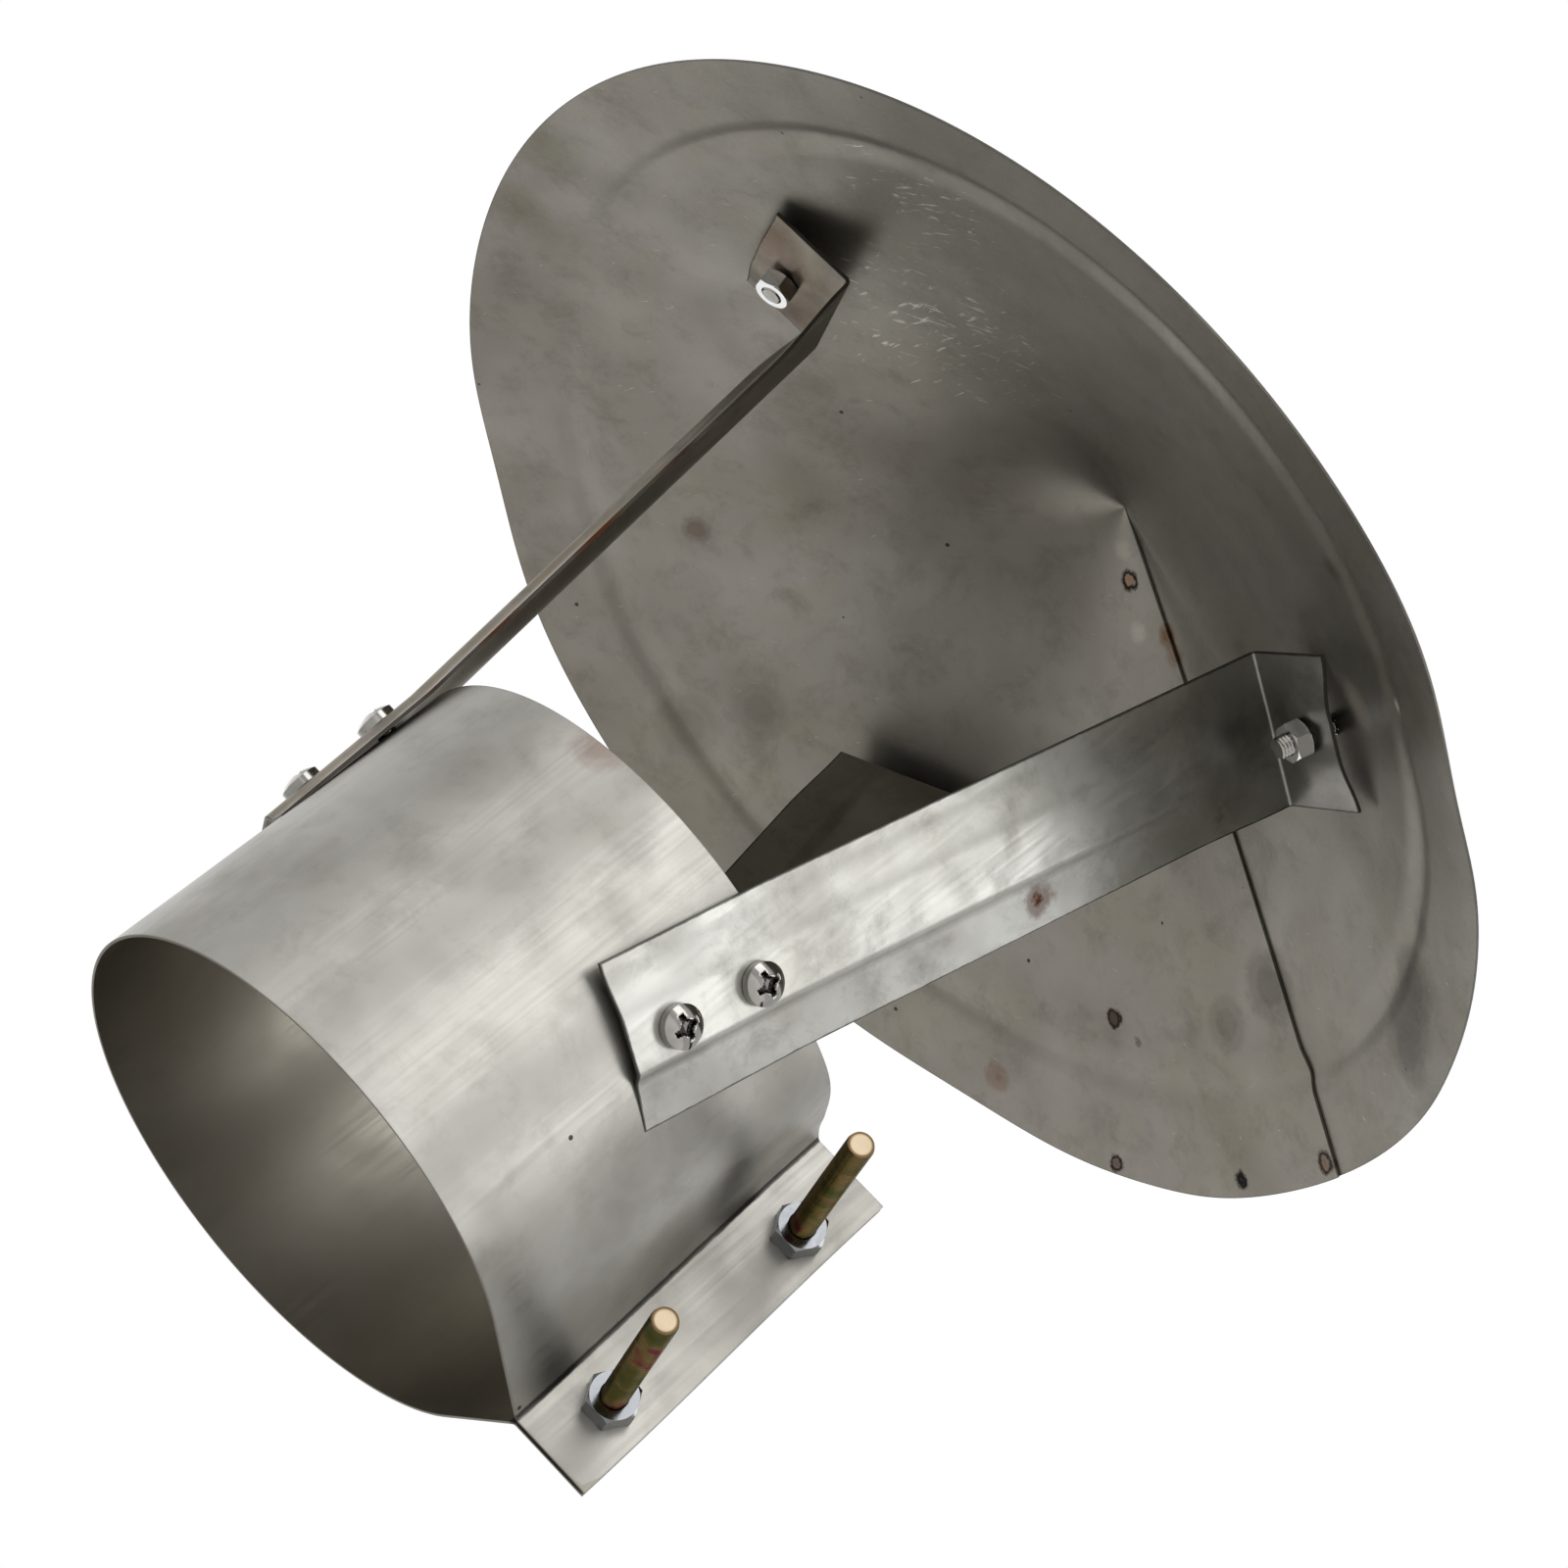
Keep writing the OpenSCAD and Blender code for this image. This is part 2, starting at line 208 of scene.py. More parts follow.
    # burn, rust and hand marks, and over the front leg's tab a broad painted shade, where the first
    # map value is positive, which is one side of the sheet, then weld marks on both sides: each a
    # soft ring or disc round a point of the sheet, with stops at shares of 1.4 radii
    for group in ("marks", "welds"):
        for point, radius, hollow, strength, ink in look[group]:
            away = addNode(tree, "ShaderNodeVectorMath", [(0, shifted.outputs[0])],
                           operation="DISTANCE", at={1: [v * mm for v in point]})
            reach = addNode(tree, "ShaderNodeMapRange", [(0, away.outputs["Value"])],
                            at={1: 0.0, 2: radius * 1.4 * mm})
            ramp = addNode(tree, "ShaderNodeValToRGB", [(0, reach.outputs[0])])
            stops = ramp.color_ramp.elements
            middle, border = strength * (1 - hollow), strength if hollow else strength * 0.6
            stops[0].color = (middle, middle, middle, 1)
            stops[1].color = (0, 0, 0, 1)
            for share, value in ((0.4, middle), (0.56, border), (0.7, border)):
                stops.new(share).color = (value, value, value, 1)
            colour = addNode(tree, "ShaderNodeMix", [(0, ramp.outputs[0]), (6, colour)],
                             data_type="RGBA", at={7: linearColour(ink)}).outputs[2]
        if group == "marks":
            handled = addNode(tree, "ShaderNodeMath", [(0, parts.outputs[0])],
                              operation="GREATER_THAN", at={1: 0.0})
            colour = addNode(tree, "ShaderNodeMix",
                             [(0, handled.outputs[0]), (6, clean), (7, colour)],
                             data_type="RGBA").outputs[2]
    # painted shade, with some dirt at seams, near black with a ragged border within a hair of an
    # edge,
    # seam or fold: each map value is the distance from one set of such lines, which has an ink of
    # its own
    waver = addNode(tree, "ShaderNodeMapRange", [(0, ragged.outputs[0])],
                    at={1: 0.3, 2: 0.7, 3: -look["waver"] * mm, 4: look["waver"] * mm})
    inks = []
    for k, ink in enumerate(look["inks"]):
        far = addNode(tree, "ShaderNodeMath", [(0, parts.outputs[k])], operation="ABSOLUTE")
        edge = addNode(tree, "ShaderNodeMath", [(0, far.outputs[0]), (1, waver.outputs[0])],
                       operation="ADD")
        inks.append(addNode(tree, "ShaderNodeMapRange", [(0, edge.outputs[0])],
                            at={1: look["edgeLine"] * mm, 2: look["edgeLine"] * 1.8 * mm,
                                3: ink, 4: 0.0}))
    edgeShadeAndDirt = addNode(tree, "ShaderNodeMath", [(i, n.outputs[0]) for i, n in enumerate(inks)],
                    operation="MAXIMUM")
    colour = addNode(tree, "ShaderNodeMix", [(0, edgeShadeAndDirt.outputs[0]), (6, colour)],
                     data_type="RGBA", at={7: linearColour(look["edgeShadeAndDirtTone"])}).outputs[2]
    tree.links.new(colour, shader.inputs["Base Color"])
    # rolling grain: fine lines along the sheet that break up its gloss
    rolled = addNode(tree, "ShaderNodeMapping", [("Vector", place)], vector_type="TEXTURE",
                     at={"Rotation": look["grainTurn"], "Scale": look["grainLong"]})
    grain = addNode(tree, "ShaderNodeTexNoise", [("Vector", rolled.outputs[0])],
                    at={"Scale": 1 / (look["grainMm"] * mm), "Detail": 3.0})
    gloss = addNode(tree, "ShaderNodeMapRange", [(0, grain.outputs[0])],
                    at={1: 0.3, 2: 0.7, 3: -look["grain"], 4: look["grain"]})
    hazy = addNode(tree, "ShaderNodeMapRange", [(0, noises["smudge"].outputs[0])],
                   at={1: 0.4, 2: 0.7, 3: look["rough"] - 0.02, 4: look["rough"] + 0.05})
    rough = addNode(tree, "ShaderNodeMath", [(0, gloss.outputs[0]), (1, hazy.outputs[0])],
                    operation="ADD")
    tree.links.new(rough.outputs[0], shader.inputs["Roughness"])
    # the thin sheet's soft dents, and its skin
    drawn = addNode(tree, "ShaderNodeMapping", [("Vector", place)], vector_type="TEXTURE",
                    at={"Scale": look["dentLong"]})
    dents = addNode(tree, "ShaderNodeTexNoise", [("Vector", drawn.outputs[0])],
                    at={"Scale": 1 / (look["dentMm"] * mm), "Detail": 1.5})
    dented = addNode(tree, "ShaderNodeBump", [("Height", dents.outputs[0])],
                     at={"Strength": 1.0, "Distance": look["dentDeep"] * mm})
    skin = addNode(tree, "ShaderNodeBump",
                   [("Height", grain.outputs[0]), ("Normal", dented.outputs[0])],
                   at={"Strength": 1.0, "Distance": look["skinDeep"] * mm})
    tree.links.new(skin.outputs[0], shader.inputs["Normal"])
    return material


# Bright plated steel, such as a nickel-chrome screw or a clear zinc nut: a near mirror with
# faint handling haze, whose roughness wanders a little.
def brightPlating(name, look):
    material = bpy.data.materials.new(name)
    material.use_nodes = True
    tree = material.node_tree
    shader = tree.nodes["Principled BSDF"]
    shader.inputs["Metallic"].default_value = 1.0
    place = addNode(tree, "ShaderNodeTexCoord").outputs["Object"]
    haze = addNode(tree, "ShaderNodeTexNoise", [("Vector", place)],
                   at={"Scale": 1 / (look["hazeMm"] * mm), "Detail": 3.0})
    colour = addNode(tree, "ShaderNodeMix", [(0, haze.outputs[0])], data_type="RGBA",
                     at={6: linearColour(look["dark"]), 7: linearColour(look["light"])})
    # painted shade in a driver's recess, darkest where it is deepest, where the map's first value
    # is its depth
    if look["recessShadeMm"]:
        uv = addNode(tree, "ShaderNodeUVMap", uv_map="sheetUv")
        parts = addNode(tree, "ShaderNodeSeparateXYZ", [(0, uv.outputs[0])])
        recessShade = addNode(tree, "ShaderNodeMapRange", [(0, parts.outputs[0])],
                         at={1: look["recessShadeMm"][0] * mm, 2: look["recessShadeMm"][1] * mm, 4: 0.85})
        colour = addNode(tree, "ShaderNodeMix", [(0, recessShade.outputs[0]), (6, colour.outputs[2])],
                         data_type="RGBA", at={7: linearColour("#1d1b19")})
    rough = addNode(tree, "ShaderNodeMapRange", [(0, haze.outputs[0])],
                    at={1: 0.35, 2: 0.7, 3: look["rough"], 4: look["rough"] * 2})
    pits = addNode(tree, "ShaderNodeBump", [("Height", haze.outputs[0])],
                   at={"Strength": 1.0, "Distance": look["pitDeep"] * mm})
    tree.links.new(colour.outputs[2], shader.inputs["Base Color"])
    tree.links.new(rough.outputs[0], shader.inputs["Roughness"])
    tree.links.new(pits.outputs[0], shader.inputs["Normal"])
    return material


# Yellow chromate over zinc: gold that drifts to olive green and wine red in patches.
def yellowChromate(look):
    material = bpy.data.materials.new("yellowChromatedZinc")
    material.use_nodes = True
    tree = material.node_tree
    shader = tree.nodes["Principled BSDF"]
    shader.inputs["Metallic"].default_value = 1.0
    place = addNode(tree, "ShaderNodeTexCoord").outputs["Object"]
    drift = addNode(tree, "ShaderNodeTexNoise", [("Vector", place)],
                    at={"Scale": 1 / (look["patchMm"] * mm), "Detail": 2.5, "Distortion": 0.8})
    tints = addNode(tree, "ShaderNodeValToRGB", [(0, drift.outputs[0])])
    stops = tints.color_ramp.elements
    stops[0].position, stops[0].color = 0.3, linearColour(look["olive"])
    stops[1].position, stops[1].color = 0.68, linearColour(look["wine"])
    stops.new(0.46).color = linearColour(look["gold"])
    stops.new(0.58).color = linearColour(look["straw"])
    # the sheared end is painted paler, a painted highlight, inside a ring of painted shade; the
    # map's values are radius and height
    uv = addNode(tree, "ShaderNodeUVMap", uv_map="sheetUv")
    parts = addNode(tree, "ShaderNodeSeparateXYZ", [(0, uv.outputs[0])])
    atEnd = addNode(tree, "ShaderNodeMath", [(0, parts.outputs[1])], operation="LESS_THAN",
                    at={1: look["tipFrom"] * mm})
    inRing = addNode(tree, "ShaderNodeMapRange", [(0, parts.outputs[0])],
                     at={1: look["ring"][0] * mm, 2: look["ring"][1] * mm})
    endHighlightAndShade = addNode(tree, "ShaderNodeMix", [(0, inRing.outputs[0])], data_type="RGBA",
                     at={6: linearColour(look["tip"]), 7: linearColour(look["edgeRingShade"])})
    colour = addNode(tree, "ShaderNodeMix",
                     [(0, atEnd.outputs[0]), (6, tints.outputs[0]), (7, endHighlightAndShade.outputs[2])],
                     data_type="RGBA")
    rough = addNode(tree, "ShaderNodeMapRange", [(0, drift.outputs[0])],
                    at={1: 0.3, 2: 0.7, 3: 0.22, 4: 0.34})
    tree.links.new(colour.outputs[2], shader.inputs["Base Color"])
    tree.links.new(rough.outputs[0], shader.inputs["Roughness"])
    return material


# what all the sheets share, lengths in millimetres: a layer's noise is mixed in over its span
# of noise values, up to its share, and a sheet's own look overrides what differs
sheetLook = {
    "metallic": 1.0, "dark": "#88857e", "light": "#9b9993", "cloudMm": 60, "rough": 0.4,
    "smudgeMm": 17, "smudgeNoise": {"Detail": 1.5, "Distortion": 0.25},
    "smudgeSpan": (0.45, 0.72), "smudgeShare": 0.5, "smudgeTone": "#6c6963",
    "stainMm": 28, "stainNoise": {"Detail": 3.0, "Distortion": 0.6},
    "stainSpan": (0.72, 0.82), "stainShare": 0.6, "stainTone": "#6f5a4b",
    "oliveMm": 38, "oliveNoise": {"Detail": 6.0, "Roughness": 0.65},
    "oliveSpan": (0.44, 0.62), "oliveShare": 0.3, "oliveTone": "#716d5a",
    "dirtMm": 11, "dirtNoise": {"Detail": 9.0, "Roughness": 0.74, "Distortion": 0.3},
    "dirtSpan": (0.5, 0.78), "dirtShare": 0.5, "dirtTone": "#4a463e",
    "speckMm": 9, "speckWide": 0.06, "speckChance": 0.12, "speckTone": "#3c3732",
    "innerShare": 0.0, "innerTone": "#9c968a",
    "scuffs": [], "scratchMm": 0.9, "scratchLong": (1.0, 6.5, 500.0), "scratchWorn": 0.17,
    "scratchSpan": (0.745, 0.83), "scratchShare": 0.6, "scratchTone": "#c9c5bb",
    "marks": [], "welds": [], "raggedMm": 3.5, "raggedDeep": 4,
    "edgeLine": 0.12, "inks": (0.9, 0.9), "waver": 0.03, "edgeShadeAndDirtTone": "#0c0b0a",
    "grainMm": 0.9, "grainTurn": (0, 0, 0), "grainLong": (1, 1, 30), "grain": 0.04,
    "dentMm": 45, "dentDeep": 0.8, "dentLong": (1, 1, 1), "skinDeep": 0.004,
}

# Cap, in millimetres: a shallow cone whose sheet overlaps itself at one radial seam
cap = {
    "radius": 146, "rimZ": 192, "rise": 69, "thick": 0.6, "hub": 0.12,
    "creaseAt": 124.5, "creaseHigh": 1.0, "creaseIn": 8, "creaseOut": 5,
    "seamAz": 10.1, "seamTwist": 2.4, "lap": 34, "gap": 0.12, "ramp": 24, "climbBy": 9,
    "warpFrom": 105,
    # each warp of the rim: azimuth, half width in degrees, and rise
    "warps": [(-46, 9, -3.6), (-28, 18, -2.6), (-14, 8, -1.4), (27, 9, -1.4), (62, 14, 3.0),
              (145, 12, 2.8), (-138, 22, -0.8)],
}

# what a hand or a welding tip has left on the cap: place, radius, how hollow, strength, ink
capWelds = [
    ((138.4, 33.7, 193.7), 2.3, 0.7, 1.0, "#24160e"),
    ((128.1, 62.9, 193.6), 2.0, 0.2, 1.0, "#0f0c0a"),
    ((103.9, 99.1, 193.1), 1.9, 0.5, 1.0, "#211812"),
    ((12.5, 9.2, 253.7), 2.1, 0.7, 1.0, "#1f130c"),
    ((12.5, 9.2, 253.7), 1.1, 0, 0.65, "#7d5a35"), ((28.5, 6.3, 247.2), 2.4, 0, 0.8, "#583717"),
    ((32.8, 6.7, 245.2), 2.4, 0, 0.55, "#5c4128"), ((138.4, 33.7, 193.7), 1.3, 0, 0.6, "#5d432c"),
    ((103.9, 99.1, 193.1), 1.1, 0, 0.5, "#4f3625"),
]
capMarks = [
    ((79.4, 77.5, 208.6), 2.1, 0.2, 1.0, "#241913"), ((101.8, 25.9, 211.4), 7, 0, 0.55, "#3e3a34"),
    ((100.3, 45.3, 209.0), 5.5, 0, 0.45, "#48443d"),
    ((118.2, -46.1, 201.0), 3.5, 0, 0.4, "#4c483f"),
    ((124.7, -31.8, 198.2), 7, 0, 0.75, "#46433d"), ((129.3, -24.1, 197.4), 8, 0, 0.75, "#46433d"),
    ((133.5, -16.6, 196.4), 7, 0, 0.7, "#46433d"), ((22.4, 14.3, 248.5), 2.2, 0, 0.3, "#a39f93"),
    ((-137.1, -36.1, 194.0), 8, 0, 0.4, "#5b5847"), ((-140.0, -10.9, 194.6), 6, 0, 0.4, "#5b5847"),
    ((56.7, -103.0, 205.4), 2.5, 0, 0.6, "#3c3933"), ((5.9, 6.6, 256.8), 2.2, 0, 0.25, "#9d998d"),
    ((87.5, 74.5, 206.7), 1.0, 0, 0.9, "#4a3529"), ((58.4, 54.4, 223.3), 0.9, 0, 0.9, "#4a3124"),
    ((5.3, -126.6, 201.1), 0.8, 0, 0.9, "#26221f"), ((66.7, 119.1, 196.5), 3.6, 0, 0.7, "#5e4030"),
    ((68.2, 12.5, 228.2), 3.2, 0, 0.8, "#4d382d"), ((-75.9, 63.5, 214.2), 3.2, 0, 0.6, "#4f4239"),
    ((-38.3, 97.7, 211.4), 6.5, 0, 0.6, "#5a554e"), ((-50.6, 113.2, 202.4), 7.5, 0, 0.5, "#5c574f"),
    ((77.0, -69.0, 212.1), 4.5, 0, 0.5, "#a9a08e"), ((85.0, -91.7, 201.9), 1.6, 0, 0.9, "#e2dccf"),
]


def capHeight(r, az):
    # cone, plus the pressed crease's sharp ridge, plus the rim's warps
    c = cap
    z = c["rimZ"] + c["rise"] * (1 - r / c["radius"])
    inner = smooth((r - c["creaseAt"] + c["creaseIn"]) / c["creaseIn"])
    outer = smooth((c["creaseAt"] + c["creaseOut"] - r) / c["creaseOut"])
    z = z + c["creaseHigh"] * np.where(r < c["creaseAt"], inner ** 1.6, outer ** 1.6)
    for az0, width, high in c["warps"]:
        turn = (az - az0 + 180) % 360 - 180
        z = z + high * np.exp(-(turn / width) ** 2) * smooth(
            (r - c["warpFrom"]) / (c["radius"] - c["warpFrom"]))
    return z


def makeCap():
    # a spiral: azimuth runs once round and on over its own start, climbing by one thickness
    c = cap
    full = 360 + c["lap"]
    sweep = np.unique(np.concatenate([
        np.linspace(0, full, 340), np.linspace(0, 1.5, 12), np.linspace(358, 361, 30)]))
    reach = np.unique(np.concatenate([
        np.linspace(c["hub"], c["radius"], 84),
        np.linspace(c["creaseAt"] - c["creaseIn"], c["creaseAt"] + c["creaseOut"], 27)]))
    turn, r = np.meshgrid(sweep, reach, indexing="ij")
    az = np.radians(c["seamAz"] + turn)
    az = az + math.radians(c["seamTwist"]) * r / c["radius"]
    climb = smooth((turn - (360 - c["ramp"])) / c["ramp"]) * smooth(r / c["climbBy"])
    climb = climb * (c["thick"] + c["gap"])
    slope = math.atan(c["rise"] / c["radius"])
    lift = c["thick"] / math.cos(slope)
    z = capHeight(r, c["seamAz"] + turn) + climb
    under = np.stack([r * np.cos(az), r * np.sin(az), z], -1) * mm
    over = under + np.array([0, 0, lift * mm])
    # the map gives two distances along the sheet: from the rim, negative on top, and from the
    # seam's edge that shows on that side
    rim = c["radius"] - r
    below = np.where(turn > 360.3, 360, np.minimum(np.abs(turn - 360), turn))
    uv = np.concatenate([np.stack([side * rim, np.radians(far) * r], -1).reshape(-1, 2) * mm
                         for side, far in ((1, below), (-1, full - turn))])
    # the cap's tones are darker than the collar's: partly its own browner tone, partly painted
    # shade for its underside
    material = rolledStainless("millStainlessCap", {
        **sheetLook, "dark": "#74706a", "light": "#84817b", "smudgeTone": "#646059",
        "smudgeMm": 26, "smudgeShare": 0.35, "dentMm": 70, "dentDeep": 1.2,
        # the inks paint shade, with some dirt, along the rim's edge and in the seam
        "edgeLine": 0.11, "inks": (0.6, 0.9), "marks": capMarks, "welds": capWelds,
        "scuffs": [((-50, -40, 229), 46, [28, 70]), ((-56, -92, 211), 36, [44])]})
    makePiece("capSheet", sheetShell(under, over), ["cap"], material, uv)


# Collar, in millimetres: a rolled sheet whose two ends turn out as clamp flanges
collar = {
    "radius": 57.8, "high": 86, "thick": 0.6, "flare": 0.8, "seat": 49.5,
    "rootX": 64.87, "rootLean": 1.8, "flangeY": 1.05, "flangeWide": 18.66, "rootRound": 1.3,
    "saddle": 1.3, "saddleAz": -78, "belly": 4.0, "bellyAz": 21, "bellyWide": 13,
    "flangeSteps": 14, "rootSteps": 12, "foldOff": 0.5, "foldShare": 0.18,
}

# smears of a greasy hand beside the clamp and by the rims: place, radius, hollow, strength, ink
collarMarks = [
    ((45.9, -35.6, 40.6), 10, 0, 0.35, "#6d6a65"), ((47.5, -33.5, 53.4), 8, 0, 0.35, "#6d6a65"),
    ((56.9, -11.5, 62.7), 9, 0, 0.35, "#6a6762"), ((51.1, -27.7, 30.0), 9, 0, 0.3, "#6d6a65"),
    ((56.8, -12.3, 21.0), 10, 0, 0.3, "#6a6762"), ((50.6, -28.5, 80.1), 8, 0, 0.35, "#6d6a65"),
    ((57.6, -7.9, 46.4), 9, 0, 0.3, "#6a6762"), ((-38.9, -43.2, 27.9), 8, 0, 0.25, "#76736d"),
    ((-30.0, -49.8, 64.7), 7, 0, 0.25, "#76736d"), ((-16.4, -55.7, 86), 5, 0, 0.45, "#6c5145"),
    ((-22.5, -53.6, 43.7), 4, 0, 0.3, "#77746d"), ((-46.5, -34.8, 10), 11, 0, 0.3, "#625e57"),
    ((-48.5, -32.3, 25), 10, 0, 0.25, "#625e57"), ((-44, -38, 3), 8, 0, 0.25, "#625e57"),
    ((69, -1.4, 43), 16, 0, 0.35, "#6d6a65"), ((74, -1.4, 66), 12, 0, 0.2, "#6d6a65"),
]


def collarLine(radius, rootX):
    # one rim from above: flange, rounded root, a straight that is tangent to the circle, circle
    c = collar
    y0, rho = c["flangeY"], c["rootRound"]
    s = math.acos(radius / rootX)
    corner = np.array([rootX - y0 * math.tan(s), y0])
    bend = math.pi / 2 - s
    centre = corner + np.array([rho * math.tan(bend / 2), rho])
    arc = -math.pi / 2 - np.linspace(0, bend, c["rootSteps"])
    root = centre + rho * np.stack([np.cos(arc), np.sin(arc)], -1)
    flange = np.linspace([rootX + c["flangeWide"], y0], root[0], c["flangeSteps"])
    wall = np.linspace(root[-1], radius * np.array([math.cos(s), math.sin(s)]), 16)
    turn = np.linspace(s, math.pi, 110)
    half = np.concatenate([flange, root[1:], wall[1:],
                           radius * np.stack([np.cos(turn), np.sin(turn)], -1)[1:]])
    return np.concatenate([half, half[-2::-1] * [1, -1]])


def makeCollar():
    # the rim's line at each height: wider above the pipe's seat, and drawn in at the clamp's top
    c = collar
    z = np.unique(np.concatenate([np.linspace(0, c["seat"], 12),
                                  np.linspace(c["seat"], c["high"], 12)]))
    radius = c["radius"] + c["flare"] * np.clip((z - c["seat"]) / (c["high"] - c["seat"]), 0, 1)
    rootX = c["rootX"] - c["rootLean"] * smooth(z / c["high"])
    line = np.array([collarLine(*pair) for pair in zip(radius, rootX)])
    step = np.gradient(line, axis=1)
    step /= np.linalg.norm(step, axis=2)[..., None]
    normal = np.stack([-step[..., 1], step[..., 0]], -1)
    # by hand bending, the wall bellies beside the clamp and the upper rim is saddle shaped
    az = np.degrees(np.arctan2(line[..., 1], line[..., 0]))
    level = smooth(z / c["high"])[:, None]
    belly = c["belly"] * np.exp(-((np.abs(az) - c["bellyAz"]) / c["bellyWide"]) ** 2)
    line = line - (belly * level * smooth((np.abs(line[..., 1]) - 2) / 8))[..., None] * normal
    lift = c["saddle"] * (1 - np.cos(2 * np.radians(az - c["saddleAz"])))
    tall = (z[:, None] + lift * level * (z / c["high"])[:, None])[..., None]
    grids = [np.concatenate([line + normal * side * c["thick"], tall], -1) * mm
             for side in (-0.5, 0.5)]
    rim = np.minimum(z, c["high"] - z)[:, None]
    run = np.concatenate([[0], np.cumsum(np.linalg.norm(np.diff(line[0], axis=0), axis=1))])
    # the map gives the distance from the sheet's edges, negative inside, and from a line a little
    # up the wall from the flange's fold, shortened so that its painted shade is drawn wider
    ends = np.minimum(run, run[-1] - run)
    bend = run[c["flangeSteps"] - 1 + c["rootSteps"] // 2]
    fold = np.abs(ends - bend - c["foldOff"]) * c["foldShare"]
    edges = np.minimum(rim, ends)
    uv = np.concatenate([np.stack(np.broadcast_arrays(side * edges, fold), -1).reshape(-1, 2) * mm
                         for side in (1, -1)])
    material = rolledStainless("millStainlessCollar", {
        **sheetLook, "light": "#a09e99", "dark": "#96948e", "innerShare": 0.7,
        "smudgeMm": 14, "smudgeShare": 0.2, "oliveShare": 0.1, "dirtShare": 0.3,
        "dentMm": 30, "dentDeep": 0.07, "dentLong": (1, 1, 4),
        "inks": (0.2, 0.8), "marks": collarMarks})
    makePiece("collarSheet", sheetShell(*grids), ["collar"], material, uv)


# Legs, in millimetres and degrees: a ribbed strip, bent out at the top as a tab
leg = {
    "names": ["left", "front", "rear"], "turn": 6, "width": 35, "thick": 0.8, "crest": 5,
    "slopeMinus": 11, "slopePlus": 3, "ribHigh": 2.0, "lean": 11.5, "splay": 5, "gap": 0.1,
    "drawnIn": 11, "screwHigh": 79, "screwStep": 20.5, "tail": 11, "tab": 22, "tabHole": 14,
    "tabGap": 0.1, "foldRound": 1.5, "headWide": 9, "seatGap": 0.02,
    "footSteps": 15, "strutSteps": 50, "foldSteps": 9, "tabSteps": 21,
    "ribEnd": 26, "tabRibEnd": 10,
}


def legLines():
    # the leg's own directions and corners, worked out as in the solid model
    g, c, k = leg, collar, cap
    mid = g["screwHigh"] - g["screwStep"] / 2
    rOut = c["radius"] + c["thick"] / 2
    lift = c["high"] - c["seat"]
    tilt = math.atan(c["flare"] / lift)
    up = np.array([math.sin(tilt), 0, math.cos(tilt)])
    footOut = np.array([math.cos(tilt), 0, -math.sin(tilt)])
    lean = math.radians(g["lean"])
    foot = np.array([rOut + c["flare"] * (mid - c["seat"]) / lift + g["gap"], 0, mid])
    sideways = np.array([0, 1.0, 0])
    footAlong = math.cos(lean) * up + math.sin(lean) * sideways
    across = math.cos(lean) * sideways - math.sin(lean) * up
    bend = math.radians(g["splay"]) - tilt
    along = math.cos(bend) * footAlong + math.sin(bend) * footOut
    tabOut = math.cos(bend) * footOut - math.sin(bend) * footAlong
    footEnd = foot - (g["screwStep"] / 2 + g["tail"]) / math.cos(lean) * footAlong
    knee = foot + ((c["high"] - mid) / math.cos(lean) + g["thick"]) * footAlong
    slope = math.atan(k["rise"] / k["radius"])
    apex = k["rimZ"] + k["rise"]
    # the strut's length: a first guess, then steps by the gap between the tab's corner and the cap
    strut = 100.0
    for _ in range(12):
        corner = knee + strut * along + g["tab"] * tabOut - g["width"] / 2 * across
        above = apex - math.hypot(corner[0], corner[1]) * math.tan(slope)
        strut += above - corner[2] - g["tabGap"]
    fold = knee + strut * along
    tabPoint = fold + g["tabHole"] * tabOut
    az = math.atan2(tabPoint[1], tabPoint[0])
    capUp = np.array([math.sin(slope) * math.cos(az), math.sin(slope) * math.sin(az),
                      math.cos(slope)])
    pin = (along + capUp) / np.linalg.norm(along + capUp)
    pinCap = pin @ capUp
    toCap = (capUp @ np.array([0, 0, apex]) - capUp @ tabPoint) / pinCap
    headSeat = (toCap + k["thick"] / pinCap
                + g["headWide"] / 2 * math.tan(math.acos(pinCap)) + g["seatGap"])
    return {"foot": foot, "footOut": footOut, "footAlong": footAlong, "across": across,
            "along": along, "tabOut": tabOut, "footEnd": footEnd, "knee": knee, "fold": fold,
            "tabPoint": tabPoint, "pin": pin, "headSeat": headSeat}


def legAzimuth(i):
    # the three legs stand a third of a turn apart
    return 180 + 120 * i + leg["turn"]


